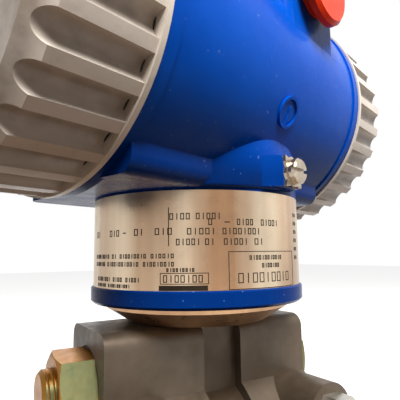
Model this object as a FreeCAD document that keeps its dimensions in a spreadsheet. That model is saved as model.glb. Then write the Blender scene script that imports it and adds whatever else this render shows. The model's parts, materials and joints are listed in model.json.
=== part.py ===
"""Differential pressure transmitter: a swivelling two-compartment housing on a bolted pressure cell.

Millimetres.  Z is up and runs along the neck.  The origin is the middle of the manifold bolt
pattern on the underside of the process covers, and X runs along the bolts that clamp the covers.
The topworks are drawn with their barrel along X and are then turned about the neck.
"""
import FreeCAD, Part
import math
import os
import Sketcher
from FreeCAD import Placement, Rotation, Vector

doc = FreeCAD.newDocument("pressure_transmitter")

# ---------------------------------------------------------------- driving dimensions

SIZES = {
    # pressure cell and process covers
    "cell_thickness": 13.0,
    "cell_height": 50.0,            # height of the diaphragm axis
    "cell_margin": 3.0,             # how far the cell's rim lies inside the covers' rim
    "process_cover_thickness": 29.5,
    "bolt_side_setback": 4.0,       # how much nearer the +X cover's face is, above its foot
    "process_cover_top": 90.8,
    "process_body_radius": 27.0,
    "lobe_half_width": 14.5,
    "lobe_corner_radius": 4.0,
    "arm_half_height": 12.5,
    "foot_half_width": 30.0,
    "foot_height": 12.5,
    "foot_corner_radius": 4.0,
    "bolt_circle_radius": 25.0,
    "chamber_radius": 12.5,
    "chamber_depth": 3.0,
    "gasket_inner_radius": 13.5,
    "gasket_outer_radius": 16.8,
    "gasket_thickness": 1.8,
    "diaphragm_radius": 12.3,
    "diaphragm_thickness": 0.5,
    "port_spacing": 54.0,
    "port_radius": 5.6,
    "port_depth": 12.0,
    "manifold_bolt_spacing": 41.3,
    "manifold_hole_radius": 4.95,
    # vents
    "vent_from_cell": 17.5,         # vent axis, outwards from the cover's inner face
    "vent_above_arm": 4.0,          # vent axis above the top of the side bolts' arms
    "vent_boss_radius": 7.9,
    "vent_boss_reach": 33.0,
    "vent_stem_radius": 4.0,
    "vent_stem_length": 12.0,
    "vent_hex_flats": 10.0,
    "vent_hex_length": 6.0,
    "vent_screw_radius": 1.8,
    "vent_screw_length": 10.0,
    "vent_screw_flats": 6.0,
    "vent_screw_head": 4.0,
    "thread_clearance": 0.05,       # between a thread and its hole
    # clamping bolts and nuts
    "bolt_radius": 6.35,
    "bolt_clearance": 0.4,
    "hex_flats": 19.05,
    "bolt_head_height": 7.0,
    "nut_height": 10.2,
    "nut_turn": 38.0,               # degrees
    "bolt_overhang": 3.4,           # thread that shows past the nut
    "spotface_radius": 11.0,
    "spotface_depth": 0.8,
    # neck and collar
    "neck_tube_radius": 16.0,
    "neck_tube_wall": 3.0,
    "neck_tube_length": 26.0,
    "neck_clearance": 0.08,         # running fit of the housing on the tube
    "swivel_gap": 0.3,
    "collar_radius": 29.0,
    "collar_foot_radius": 22.0,
    "collar_height": 5.5,
    "collar_rim": 1.2,
    "header_thickness": 2.5,
    "neck_seal_radius": 1.0,
    # housing
    "neck_ring_radius": 33.7,
    "neck_ring_height": 4.9,
    "plate_radius": 33.0,
    "plate_thickness": 0.6,
    "plate_height": 25.9,
    "plate_seam": 2.0,
    "plate_clearance": 0.2,         # between the band and the neck behind it
    "barrel_radius": 41.0,
    "barrel_sink": 1.7,             # how far the round barrel dips below the plate's top edge
    "barrel_back_length": 52.3,     # neck axis to the electronics cover's seam
    "barrel_front_length": 42.7,    # neck axis to the terminal cover's seam
    "rim_radius": 41.5,
    "rim_width": 3.5,
    "bore_radius": 36.0,
    "partition_back": 6.0,
    "partition_thickness": 4.0,
    "neck_floor": 6.0,
    "lead_hole_radius": 4.0,
    "lead_hole_offset": 10.5,
    "slab_half_width": 26.0,
    "slab_back_inset": 2.2,         # from each end of the barrel to the belly
    "slab_front_inset": 5.7,
    "slab_gap": 0.6,
    "slab_height": 20.0,
    "slab_edge_radius": 4.0,
    "lock_boss_inside": 6.0,        # how far the wing stays within the barrel's side
    "lock_boss_inset": 11.3,        # from each end of the barrel to the wing
    "lock_boss_height": 12.0,
    "lock_screw_radius": 2.0,
    "lock_screw_length": 12.0,
    "lock_screw_inset": 4.9,        # from the wing's outer faces to the screw
    "lock_screw_head_radius": 3.3,
    "lock_screw_head": 3.0,
    "hub_offset": 11.0,
    "hub_rise": 26.6,               # conduit axis above the barrel axis
    "hub_radius": 16.0,
    "hub_reach": 40.0,
    "hub_edge_radius": 3.5,
    "conduit_radius": 9.2,
    "earth_boss_offset": -2.0,
    "earth_boss_reach": 37.0,
    "earth_boss_height": 8.5,
    "earth_boss_half_width": 4.2,
    "earth_boss_root_half_width": 28.5,
    "earth_boss_foot": 0.8,
    "earth_screw_radius": 2.0,
    "earth_screw_length": 8.0,
    "earth_head_radius": 3.6,
    "earth_head_height": 2.4,
    "earth_washer_half": 4.2,
    "earth_washer_thickness": 0.9,
    "foundry_ring_radius": 4.6,
    "foundry_ring_width": 0.9,
    "foundry_ring_height": 0.5,
    "foundry_ring_offset": -3.0,
    "foundry_ring_angle": 24.0,
    # screwed housing covers
    "cover_gap": 0.3,
    "cover_length": 26.0,
    "cover_radius": 41.5,
    "cover_rim_radius": 42.0,
    "cover_rim_width": 1.7,
    "cover_chamfer": 4.0,
    "cover_wall": 9.5,              # rim to the inside
    "cover_end_wall": 5.0,
    "cover_skirt_length": 11.0,
    "cover_skirt_clearance": 0.08,  # running fit of the cover in the bore
    "flute_count": 30,
    "flute_radius": 3.0,
    "flute_centre_radius": 41.9,
    "cover_seal_radius": 38.2,
    "cover_seal_section": 1.0,
    # inside the compartments
    "module_radius": 34.8,
    "module_length": 22.0,
    "module_from_wall": 8.0,
    "module_post_radius": 4.0,
    "module_screw_offset": 24.0,
    "module_screw_radius": 3.0,
    "module_screw_length": 5.0,
    "terminal_block_half_width": 25.0,
    "terminal_block_height": 22.0,
    "terminal_block_drop": 14.0,
    "terminal_block_depth": 12.0,
    "terminal_pitch": 14.0,
    "terminal_screw_radius": 3.2,
    "terminal_screw_height": 3.0,
    # conduit caps
    "cap_flange_radius": 13.0,
    "cap_flange_thickness": 3.0,
    "cap_flange_round": 1.2,
    "cap_standoff": 3.0,
    "cap_clearance": 0.08,          # push fit of the plug in the bore
    "cap_plug_length": 11.0,
    "cap_wall": 1.8,
    # how the topworks stand in this build
    "swivel_angle": 18.0,           # degrees, barrel from the bolts' direction
}

sheet = doc.addObject("Spreadsheet::Sheet", "dims")
for row, (alias, number) in enumerate(SIZES.items(), start=1):
    sheet.set(f"A{row}", alias)
    sheet.set(f"B{row}", str(number))
    sheet.setAlias(f"B{row}", alias)
doc.recompute()


class Size:
    """A number together with the sheet formula that it comes from."""

    def __init__(self, value, formula):
        self.value = float(value)
        self.formula = formula

    def __add__(self, other):
        other = size(other)
        return Size(self.value + other.value, f"({self.formula} + {other.formula})")

    def __sub__(self, other):
        other = size(other)
        return Size(self.value - other.value, f"({self.formula} - {other.formula})")

    def __mul__(self, factor):
        return Size(self.value * factor, f"({self.formula} * {factor})")

    def __truediv__(self, divisor):
        return Size(self.value / divisor, f"({self.formula} / {divisor})")

    def __neg__(self):
        return Size(-self.value, f"(0 - {self.formula})")


def size(number):
    """A plain number as a Size; a Size as it is."""
    return number if isinstance(number, Size) else Size(number, str(number))


class Dims:
    """Reads a driving dimension by its name."""

    def __getattr__(self, alias):
        return Size(float(sheet.get(alias)), f"dims.{alias}")


d = Dims()

# Heights and reaches that several pieces share
cover_inner = d.cell_thickness / 2
cover_outer = cover_inner + d.process_cover_thickness
bolt_face = cover_outer - d.bolt_side_setback
vent_across = cover_inner + d.vent_from_cell
collar_bottom = d.process_cover_top + d.swivel_gap
collar_top = collar_bottom + d.collar_height
housing_bottom = collar_top + d.swivel_gap
plate_bottom = housing_bottom + d.neck_ring_height
plate_top = plate_bottom + d.plate_height
slab_bottom = plate_top + d.slab_gap
barrel_height = plate_top + d.barrel_radius - d.barrel_sink
hub_height = barrel_height + d.hub_rise
neck_bore_top = barrel_height - d.bore_radius - d.neck_floor
vent_height = d.cell_height + d.arm_half_height + d.vent_above_arm
slab_back = d.barrel_back_length - d.slab_back_inset
slab_front = d.barrel_front_length - d.slab_front_inset
lock_back = d.barrel_back_length - d.lock_boss_inset
lock_front = d.barrel_front_length - d.lock_boss_inset
lock_length = lock_back + lock_front
lock_reach = d.barrel_radius - d.lock_boss_inside
HEX_CORNER = 1 / math.sqrt(3)

# ---------------------------------------------------------------- modelling helpers


def bind(thing, path, amount):
    """Ties one property of a thing to the sheet."""
    thing.setExpression(path, size(amount).formula)


def move(thing, x=0, y=0, z=0):
    """Ties the place of a thing to the sheet."""
    for path, amount in (("x", x), ("y", y), ("z", z)):
        if isinstance(amount, Size) or amount:
            bind(thing, f"Placement.Base.{path}", amount)


def swivel(thing):
    """Turns a piece of the topworks about the neck."""
    thing.Placement = Placement(thing.Placement.Base, Rotation(Vector(0, 0, 1), SIZES["swivel_angle"]))
    bind(thing, "Placement.Rotation.Angle", d.swivel_angle)


def new_body(label, x=0, y=0, z=0):
    body = doc.addObject("PartDesign::Body", label)
    body.Label = label
    move(body, x, y, z)
    return body


def new_sketch(body, plane, offset=None):
    """A sketch on one of the body's own origin planes, moved along its normal."""
    sketch = body.newObject("Sketcher::SketchObject", f"{body.Name}_sketch")
    support = next(item for item in body.Origin.OriginFeatures if item.Role == plane)
    sketch.AttachmentSupport = (support, [""])
    sketch.MapMode = "FlatFace"
    if offset is not None:
        bind(sketch, "AttachmentOffset.Base.z", offset)
    return sketch


def hold_point(sketch, geometry, point, x, y):
    """Holds one point of a sketch at sheet-driven coordinates."""
    for kind, axis, amount in (("DistanceX", -2, x), ("DistanceY", -1, y)):
        if isinstance(amount, Size):
            index = sketch.addConstraint(Sketcher.Constraint(kind, -1, 1, geometry, point, amount.value))
            bind(sketch, f"Constraints[{index}]", amount)
        else:
            sketch.addConstraint(Sketcher.Constraint("PointOnObject", geometry, point, axis))


def draw_polygon(sketch, corners):
    """A closed outline of straight edges; a plain 0 puts a corner on the axis."""
    first = sketch.GeometryCount
    count = len(corners)
    for index, (x, y) in enumerate(corners):
        end_x, end_y = corners[(index + 1) % count]
        start = Vector(size(x).value, size(y).value, 0)
        end = Vector(size(end_x).value, size(end_y).value, 0)
        sketch.addGeometry(Part.LineSegment(start, end))
    for index, (x, y) in enumerate(corners):
        following = first + (index + 1) % count
        sketch.addConstraint(Sketcher.Constraint("Coincident", first + index, 2, following, 1))
        hold_point(sketch, first + index, 1, x, y)


def draw_circle(sketch, x, y, radius):
    centre = Vector(size(x).value, size(y).value, 0)
    index = sketch.addGeometry(Part.Circle(centre, Vector(0, 0, 1), radius.value))
    hold_point(sketch, index, 3, x, y)
    held = sketch.addConstraint(Sketcher.Constraint("Radius", index, radius.value))
    bind(sketch, f"Constraints[{held}]", radius)


def hexagon(flats):
    """Corners of a hexagon with two flats level."""
    corner = flats * HEX_CORNER
    return [(corner, 0), (corner / 2, flats / 2), (-corner / 2, flats / 2),
            (-corner, 0), (-corner / 2, -flats / 2), (corner / 2, -flats / 2)]


def extrude(body, kind, sketch, length=None, midplane=False, backwards=False):
    """A Pad or a Pocket; a Pocket with no length goes through everything."""
    feature = body.newObject(f"PartDesign::{kind}", f"{body.Name}_{kind.lower()}")
    feature.Profile = sketch
    if length is None:
        feature.Type = "ThroughAll"
    else:
        bind(feature, "Length", length)
    feature.Midplane = midplane
    feature.Reversed = backwards
    body.Tip = feature
    return feature


def turn(body, kind, sketch, axis="V_Axis"):
    """A Revolution or a Groove, all the way round."""
    feature = body.newObject(f"PartDesign::{kind}", f"{body.Name}_{kind.lower()}")
    feature.Profile = sketch
    feature.ReferenceAxis = (sketch, [axis])
    feature.Angle = 360
    body.Tip = feature
    return feature


def repeat_round(body, feature, sketch, axis, count):
    pattern = body.newObject("PartDesign::PolarPattern", f"{body.Name}_pattern")
    pattern.Originals = [feature]
    pattern.Axis = (sketch, [axis])
    pattern.Angle = 360
    bind(pattern, "Occurrences", count)
    body.Tip = pattern
    return pattern


def round_edges(body, radius, wanted):
    """Fillets the edges of the body's latest feature that satisfy a test."""
    doc.recompute()
    base = body.Tip
    names = [f"Edge{number}" for number, edge in enumerate(base.Shape.Edges, start=1) if wanted(edge)]
    fillet = body.newObject("PartDesign::Fillet", f"{body.Name}_fillet")
    fillet.Base = (base, names)
    bind(fillet, "Radius", radius)
    body.Tip = fillet
    return fillet


def lathe(label, profile, x=0, y=0, z=0, axis="V_Axis"):
    """A turned piece: its half section on XZ, spun about the sketch's axis."""
    body = new_body(label, x, y, z)
    sketch = new_sketch(body, "XZ_Plane")
    draw_polygon(sketch, profile)
    turn(body, "Revolution", sketch, axis)
    return body


def primitive(kind, name, x=0, y=0, z=0, spin=None, **amounts):
    """A Part primitive; spin is the axis and angle that lay it down."""
    thing = doc.addObject(f"Part::{kind}", name)
    for path, amount in amounts.items():
        bind(thing, path, amount)
    if spin is not None:
        thing.Placement = Placement(Vector(), Rotation(*spin))
    move(thing, x, y, z)
    return thing


ALONG_X = (Vector(0, 1, 0), 90)
ALONG_Y = (Vector(1, 0, 0), -90)


def round_bar(name, radius, length, x=0, y=0, z=0, spin=None):
    return primitive("Cylinder", name, x, y, z, spin, Radius=radius, Height=length)


def box(name, length, width, height, x=0, y=0, z=0):
    return primitive("Box", name, x, y, z, Length=length, Width=width, Height=height)


def rounded(name, base, radius, wanted):
    """A Part::Fillet on the edges that satisfy a test."""
    doc.recompute()
    fillet = doc.addObject("Part::Fillet", name)
    fillet.Base = base
    fillet.Edges = [(number, radius.value, radius.value)
                    for number, edge in enumerate(base.Shape.Edges, start=1) if wanted(edge)]
    return fillet


def fuse(name, pieces):
    whole = doc.addObject("Part::MultiFuse", name)
    whole.Shapes = pieces
    whole.Refine = True
    return whole


def cut(label, base, tools):
    tool = tools[0] if len(tools) == 1 else fuse(f"{label}_tools", tools)
    result = doc.addObject("Part::Cut", label)
    result.Base = base
    result.Tool = tool
    result.Label = label
    return result


def runs_along(edge, direction):
    """True for a straight edge in a direction, either way."""
    if edge.Curve.TypeId != "Part::GeomLine":
        return False
    return abs(abs(edge.Curve.Direction.dot(direction)) - 1) < 1e-6


def near(a, b):
    return abs(a - b) < 1e-3


nodes = []


def keep(piece):
    """Lists a finished piece, which becomes a node of the part."""
    nodes.append(piece)
    return piece


# ---------------------------------------------------------------- process covers

X, Y, Z = Vector(1, 0, 0), Vector(0, 1, 0), Vector(0, 0, 1)
BOLT_SITES = [("top", 0, 1), ("bottom", 0, -1), ("near", -1, 0), ("far", 1, 0)]


def bolt_place(across, up):
    """Middle of a clamping bolt, across the cover and up from the foot."""
    y = d.bolt_circle_radius * across if across else 0
    return y, d.cell_height + d.bolt_circle_radius * up if up else d.cell_height


def cross_outline(sketch, margin, foot):
    """The four-lobed outline that the covers and the cell share, with or without the foot."""
    lobe = d.lobe_half_width - margin
    arm = d.bolt_circle_radius
    arm_low = d.cell_height - d.arm_half_height + margin
    arm_high = d.cell_height + d.arm_half_height - margin
    right = [(lobe, arm_low), (arm, arm_low), (arm, arm_high), (lobe, arm_high)]
    if foot:
        wide = d.foot_half_width
        right = [(wide, 0), (wide, d.foot_height), (lobe, d.foot_height)] + right
        right.append((lobe, d.process_cover_top))
    else:
        low = d.cell_height - d.bolt_circle_radius
        right = [(lobe, low)] + right + [(lobe, collar_bottom)]
    left = [(-x, y) for x, y in reversed(right)]
    draw_polygon(sketch, right + left)


def foot_toe(body, face):
    """Carries the foot out to its full depth past a set-back face."""
    sketch = new_sketch(body, "YZ_Plane", face)
    wide, top = d.foot_half_width, d.foot_height
    draw_polygon(sketch, [(wide, 0), (wide, top), (-wide, top), (-wide, 0)])
    extrude(body, "Pad", sketch, cover_outer - face)


def process_cover(label, side):
    """One process cover; side is 1 for the +X cover and -1 for the other."""
    body = new_body(label)
    if side < 0:
        body.Placement = Placement(Vector(), Rotation(Z, 180))
    face = bolt_face if side > 0 else cover_outer
    thickness = face - cover_inner

    sketch = new_sketch(body, "YZ_Plane", cover_inner)
    cross_outline(sketch, size(0), foot=True)
    extrude(body, "Pad", sketch, thickness)
    if side > 0:
        foot_toe(body, face)
    top = d.process_cover_top.value
    round_edges(body, d.lobe_corner_radius,
                lambda edge: runs_along(edge, X) and near(edge.CenterOfMass.z, top))
    foot_top = d.foot_height.value
    round_edges(body, d.foot_corner_radius,
                lambda edge: runs_along(edge, X) and near(edge.CenterOfMass.z, foot_top))

    for x, y, radius in [(0, d.cell_height, d.process_body_radius),
                         (d.bolt_circle_radius, d.cell_height, d.arm_half_height),
                         (-d.bolt_circle_radius, d.cell_height, d.arm_half_height)]:
        sketch = new_sketch(body, "YZ_Plane", cover_inner)
        draw_circle(sketch, x, y, radius)
        extrude(body, "Pad", sketch, thickness)

    # vent bosses on both sides, one bore through each
    sketch = new_sketch(body, "XZ_Plane")
    draw_circle(sketch, vent_across, vent_height, d.vent_boss_radius)
    extrude(body, "Pad", sketch, d.vent_boss_reach * 2, midplane=True)
    for backwards in (False, True):
        reach = d.vent_boss_reach if backwards else -d.vent_boss_reach
        sketch = new_sketch(body, "XZ_Plane", reach)
        draw_circle(sketch, vent_across, vent_height, d.vent_stem_radius + d.thread_clearance)
        extrude(body, "Pocket", sketch, d.vent_stem_length + 2, backwards=not backwards)

    # bolt holes and their spotfaces
    sketch = new_sketch(body, "YZ_Plane", cover_inner)
    spots = new_sketch(body, "YZ_Plane", face)
    for _, across, up in BOLT_SITES:
        y, z = bolt_place(across, up)
        draw_circle(sketch, y, z, d.bolt_radius + d.bolt_clearance)
        draw_circle(spots, y, z, d.spotface_radius)
    extrude(body, "Pocket", sketch, thickness, backwards=True)
    extrude(body, "Pocket", spots, d.spotface_depth)

    # pressure chamber and gasket groove on the inner face
    for radius, inner, depth in [(d.chamber_radius, None, d.chamber_depth),
                                 (d.gasket_outer_radius, d.gasket_inner_radius, d.gasket_thickness)]:
        sketch = new_sketch(body, "YZ_Plane", cover_inner)
        draw_circle(sketch, 0, d.cell_height, radius)
        if inner is not None:
            draw_circle(sketch, 0, d.cell_height, inner)
        extrude(body, "Pocket", sketch, depth, backwards=True)

    # process port and manifold bolt holes in the foot
    port_at = d.port_spacing / 2
    sketch = new_sketch(body, "XY_Plane")
    draw_circle(sketch, port_at, 0, d.port_radius)
    extrude(body, "Pocket", sketch, d.port_depth, backwards=True)
    sketch = new_sketch(body, "XY_Plane")
    for y in (d.manifold_bolt_spacing / 2, -d.manifold_bolt_spacing / 2):
        draw_circle(sketch, port_at, y, d.manifold_hole_radius)
    extrude(body, "Pocket", sketch, d.foot_height, backwards=True)
    return keep(body)


process_cover("process_cover_high", 1)
process_cover("process_cover_low", -1)

# ---------------------------------------------------------------- pressure cell


def sensor_cell():
    """The cell between the covers, with a shallow seat for each diaphragm."""
    body = new_body("sensor_cell")
    for draw in ("outline", "body", "low_lobe", "near_arm", "far_arm"):
        sketch = new_sketch(body, "YZ_Plane")
        if draw == "outline":
            cross_outline(sketch, d.cell_margin, foot=False)
        elif draw == "body":
            draw_circle(sketch, 0, d.cell_height, d.process_body_radius - d.cell_margin)
        elif draw == "low_lobe":
            draw_circle(sketch, 0, d.cell_height - d.bolt_circle_radius,
                        d.lobe_half_width - d.cell_margin)
        else:
            reach = d.bolt_circle_radius if draw == "far_arm" else -d.bolt_circle_radius
            draw_circle(sketch, reach, d.cell_height, d.arm_half_height - d.cell_margin)
        extrude(body, "Pad", sketch, d.cell_thickness, midplane=True)
    sketch = new_sketch(body, "YZ_Plane")
    for _, across, up in BOLT_SITES:
        y, z = bolt_place(across, up)
        draw_circle(sketch, y, z, d.bolt_radius + d.bolt_clearance)
    extrude(body, "Pocket", sketch, d.cell_thickness, midplane=True)
    for side in (1, -1):
        sketch = new_sketch(body, "YZ_Plane", cover_inner * side)
        draw_circle(sketch, 0, d.cell_height, d.diaphragm_radius)
        extrude(body, "Pocket", sketch, d.diaphragm_thickness * 2, backwards=side < 0)
    return keep(body)


sensor_cell()


def diaphragm(label, side):
    """A thin isolating disc with three pressed rings, at the bottom of its seat."""
    seat = cover_inner - d.diaphragm_thickness * 2
    thick = d.diaphragm_thickness
    ring = d.diaphragm_radius / 4
    ripple = thick * 0.6
    upper = [(ring * step, seat + thick + (ripple if step % 2 else 0)) for step in range(3, 0, -1)]
    profile = ([(0, seat), (d.diaphragm_radius, seat), (d.diaphragm_radius, seat + thick)]
               + upper + [(0, seat + thick)])
    body = lathe(label, profile, z=d.cell_height)
    body.Placement = Placement(body.Placement.Base, Rotation(Y, 90 * side))
    return keep(body)


def gasket(label, side):
    inner, outer = d.gasket_inner_radius, d.gasket_outer_radius
    low, high = cover_inner, cover_inner + d.gasket_thickness
    body = lathe(label, [(inner, low), (outer, low), (outer, high), (inner, high)], z=d.cell_height)
    body.Placement = Placement(body.Placement.Base, Rotation(Y, 90 * side))
    return keep(body)


for name, side in (("high", 1), ("low", -1)):
    diaphragm(f"diaphragm_{name}", side)
    gasket(f"cell_gasket_{name}", side)

# ---------------------------------------------------------------- bolts, nuts and vents


def hex_piece(body, flats, length, start, both_ends):
    """A hexagon bar along Z from start, its corners turned off at 30 degrees."""
    sketch = new_sketch(body, "XY_Plane", start)
    draw_polygon(sketch, hexagon(flats))
    extrude(body, "Pad", sketch, length)
    corner = flats * HEX_CORNER
    drop = (corner - flats / 2) * HEX_CORNER
    ends = [(start + length, -drop)] + ([(start, drop)] if both_ends else [])
    for level, slope in ends:
        sketch = new_sketch(body, "XZ_Plane")
        draw_polygon(sketch, [(flats / 2 * 0.97, level), (corner + 1, level),
                              (corner + 1, level + slope * 1.4), (corner, level + slope)])
        turn(body, "Groove", sketch)


def clamping_bolt(name, across, up):
    """Hexagon bolt along X with its head on the +X cover."""
    y, z = bolt_place(across, up)
    body = new_body(f"cover_bolt_{name}", y=y, z=z)
    seat = bolt_face - d.spotface_depth
    hex_piece(body, d.hex_flats, d.bolt_head_height, seat, both_ends=False)
    end = cover_outer - d.spotface_depth + d.nut_height + d.bolt_overhang
    sketch = new_sketch(body, "XZ_Plane")
    chamfer = d.bolt_radius * 0.15
    draw_polygon(sketch, [(0, -end), (d.bolt_radius - chamfer, -end), (d.bolt_radius, chamfer - end),
                          (d.bolt_radius, seat), (0, seat)])
    turn(body, "Revolution", sketch)
    body.Placement = Placement(body.Placement.Base, Rotation(Y, 90))
    return keep(body)


def clamping_nut(name, across, up):
    """Hexagon nut on the -X cover."""
    y, z = bolt_place(across, up)
    body = new_body(f"cover_nut_{name}", y=y, z=z)
    seat = cover_outer - d.spotface_depth
    hex_piece(body, d.hex_flats, d.nut_height, seat, both_ends=True)
    sketch = new_sketch(body, "XY_Plane", seat)
    draw_circle(sketch, 0, 0, d.bolt_radius)
    extrude(body, "Pocket", sketch, d.nut_height, backwards=True)
    body.Placement = Placement(body.Placement.Base,
                               Rotation(X, SIZES["nut_turn"]).multiply(Rotation(Y, -90)))
    return keep(body)


for name, across, up in BOLT_SITES:
    clamping_bolt(name, across, up)
    clamping_nut(name, across, up)


def vent_plug(label, side, way, bored):
    """Hexagon plug in a vent boss; way is -1 on the near side and 1 on the far side."""
    x = vent_across * side
    body = new_body(label, x=x, z=vent_height)
    reach = d.vent_boss_reach
    hex_piece(body, d.vent_hex_flats, d.vent_hex_length, reach, both_ends=False)
    sketch = new_sketch(body, "XY_Plane", reach)
    draw_circle(sketch, 0, 0, d.vent_stem_radius)
    extrude(body, "Pad", sketch, d.vent_stem_length, backwards=True)
    if bored:
        sketch = new_sketch(body, "XY_Plane", reach + d.vent_hex_length)
        draw_circle(sketch, 0, 0, d.vent_screw_radius + d.thread_clearance)
        extrude(body, "Pocket", sketch, d.vent_screw_length)
    body.Placement = Placement(body.Placement.Base, Rotation(X, -90 * way))
    return keep(body)


def vent_screw(label, side):
    """Small hexagon screw in the end of a near-side vent plug."""
    x = vent_across * side
    body = new_body(label, x=x, z=vent_height)
    seat = d.vent_boss_reach + d.vent_hex_length
    hex_piece(body, d.vent_screw_flats, d.vent_screw_head, seat + d.thread_clearance, both_ends=False)
    sketch = new_sketch(body, "XY_Plane", seat + d.thread_clearance)
    draw_circle(sketch, 0, 0, d.vent_screw_radius)
    extrude(body, "Pad", sketch, d.vent_screw_length - 0.5, backwards=True)
    body.Placement = Placement(body.Placement.Base, Rotation(X, 90))
    return keep(body)


for name, side in (("high", 1), ("low", -1)):
    vent_plug(f"vent_plug_{name}", side, -1, bored=True)
    vent_screw(f"vent_screw_{name}", side)
    vent_plug(f"drain_plug_{name}", side, 1, bored=False)


# ---------------------------------------------------------------- neck collar


def sensor_collar():
    """The collar on the cell with the tube that the housing swivels on."""
    tube = d.neck_tube_radius
    bore = tube - d.neck_tube_wall
    top = collar_top + d.neck_tube_length
    rim = collar_top - d.collar_rim
    groove = top - d.neck_tube_wall * 2
    floor = tube - d.neck_seal_radius * 1.95
    width = d.neck_seal_radius * 2
    profile = [(0, collar_bottom), (d.collar_foot_radius, collar_bottom), (d.collar_radius, rim),
               (d.collar_radius, collar_top), (tube, collar_top), (tube, groove), (floor, groove),
               (floor, groove + width), (tube, groove + width), (tube, top), (bore, top),
               (bore, collar_top), (0, collar_top)]
    return keep(lathe("sensor_collar", profile))


def ring(label, centre_radius, section, x=0, z=0):
    """An O-ring that lies flat about the neck."""
    return primitive("Torus", label, x=x, z=z, Radius1=centre_radius, Radius2=section)


def neck_seal():
    section = d.neck_seal_radius
    groove = collar_top + d.neck_tube_length - d.neck_tube_wall * 2
    seal = ring("neck_seal", d.neck_tube_radius - section * 0.95, section, z=groove + section)
    return keep(seal)


def sensor_header():
    """Disc with its row of pins that closes the neck tube."""
    top = collar_top + d.neck_tube_length
    radius = d.neck_tube_radius - d.neck_tube_wall
    disc = round_bar("header_disc", radius, d.header_thickness, z=top - d.header_thickness)
    pin = d.header_thickness / 4
    pins = [round_bar(f"header_pin_{place}", pin, pin * 2, x=radius * 0.3 * place, z=top)
            for place in (-2, -1, 0, 1, 2)]
    header = fuse("sensor_header", [disc] + pins)
    return keep(header)


sensor_collar()
neck_seal()
sensor_header()

# ---------------------------------------------------------------- housing


def neck_pieces():
    """Ring, seat for the data plate and the neck above it, in one turned piece."""
    seat = d.plate_radius - d.plate_thickness - d.plate_clearance
    ring_edge = d.neck_ring_height * 0.16
    wide = d.neck_ring_radius
    low = housing_bottom
    profile = [(0, low), (wide - ring_edge, low), (wide, low + ring_edge),
               (wide, plate_bottom - ring_edge / 2), (wide - ring_edge / 2, plate_bottom),
               (seat, plate_bottom), (seat, plate_top), (d.plate_radius, plate_top),
               (d.plate_radius, barrel_height), (0, barrel_height)]
    return lathe("neck", profile)


def barrel_pieces():
    """The barrel, flat where it meets the underside of the belly, and its two end rims."""
    length = d.barrel_back_length + d.barrel_front_length
    back = -d.barrel_back_length
    round_tube = round_bar("round_barrel", d.barrel_radius, length, back, 0, barrel_height, ALONG_X)
    below = box("below_slab", slab_back + slab_front, d.barrel_radius * 2, d.slab_height,
                -slab_back, -d.barrel_radius, slab_bottom - d.slab_height)
    tube = cut("barrel", round_tube, [below])
    rims = [round_bar("back_rim", d.rim_radius, d.rim_width, back, 0, barrel_height, ALONG_X),
            round_bar("front_rim", d.rim_radius, d.rim_width, d.barrel_front_length - d.rim_width, 0,
                      barrel_height, ALONG_X)]
    return [tube] + rims


def slab_pieces():
    """Flat belly under the barrel and the wing that carries the electronics cover's lock."""
    base = slab_bottom.value
    length = slab_back + slab_front
    slab = box("slab", length, d.slab_half_width * 2, d.slab_height,
               -slab_back, -d.slab_half_width, slab_bottom)
    slab = rounded("slab_rounded", slab, d.slab_edge_radius,
                   lambda edge: runs_along(edge, X) and near(edge.CenterOfMass.z, base))
    wing = box("lock_wing", lock_length, lock_reach, d.lock_boss_height,
               -lock_back, 0, slab_bottom)
    far = lock_reach.value
    wing = rounded("lock_wing_rounded", wing, d.slab_edge_radius,
                   lambda edge: near(edge.CenterOfMass.y, far) and not runs_along(edge, X))
    return [slab, wing]


def hub_pieces():
    """The conduit hubs on both sides, square-shouldered down to the barrel."""
    reach = d.hub_reach
    hub = round_bar("hub", d.hub_radius, reach * 2, d.hub_offset, -reach, hub_height, ALONG_Y)
    skirt = box("hub_skirt", d.hub_radius * 2, reach * 2, d.hub_rise,
                d.hub_offset - d.hub_radius, -reach, barrel_height)
    shape = fuse("hub_shape", [hub, skirt])
    ends = reach.value
    return [rounded("hub_rounded", shape, d.hub_edge_radius,
                    lambda edge: near(abs(edge.CenterOfMass.y), ends)
                    and edge.BoundBox.ZMax > barrel_height.value + 1)]


def earth_boss():
    """Tapered boss on the near side of the neck for the earth screw."""
    boss = doc.addObject("Part::Wedge", "earth_boss")
    middle, low = d.earth_boss_offset, slab_bottom + d.earth_boss_foot
    tip, root = d.earth_boss_half_width, d.earth_boss_root_half_width
    for path, amount in [("Ymin", -d.earth_boss_reach), ("Ymax", size(0)),
                         ("Xmin", middle - tip), ("Xmax", middle + tip),
                         ("X2min", middle - root - tip), ("X2max", middle + root + tip),
                         ("Zmin", low), ("Zmax", low + d.earth_boss_height),
                         ("Z2min", low), ("Z2max", low + d.earth_boss_height)]:
        bind(boss, path, amount)
    return boss


def foundry_ring():
    """Small raised ring cast on the near side of the barrel."""
    outer = d.foundry_ring_radius
    reach = d.barrel_radius + d.foundry_ring_height
    spin = (X, 90 + SIZES["foundry_ring_angle"])
    blank = round_bar("foundry_blank", outer, reach, d.foundry_ring_offset, 0, barrel_height, spin)
    hole = round_bar("foundry_hole", outer - d.foundry_ring_width, reach * 1.1,
                     d.foundry_ring_offset, 0, barrel_height, spin)
    return cut("foundry_ring", blank, [hole])


earth_up = slab_bottom + d.earth_boss_foot + d.earth_boss_height / 2
lock_across = lock_reach - d.lock_screw_inset
lock_up = slab_bottom + d.lock_screw_inset
lock_hole = d.lock_screw_radius + d.thread_clearance


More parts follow.
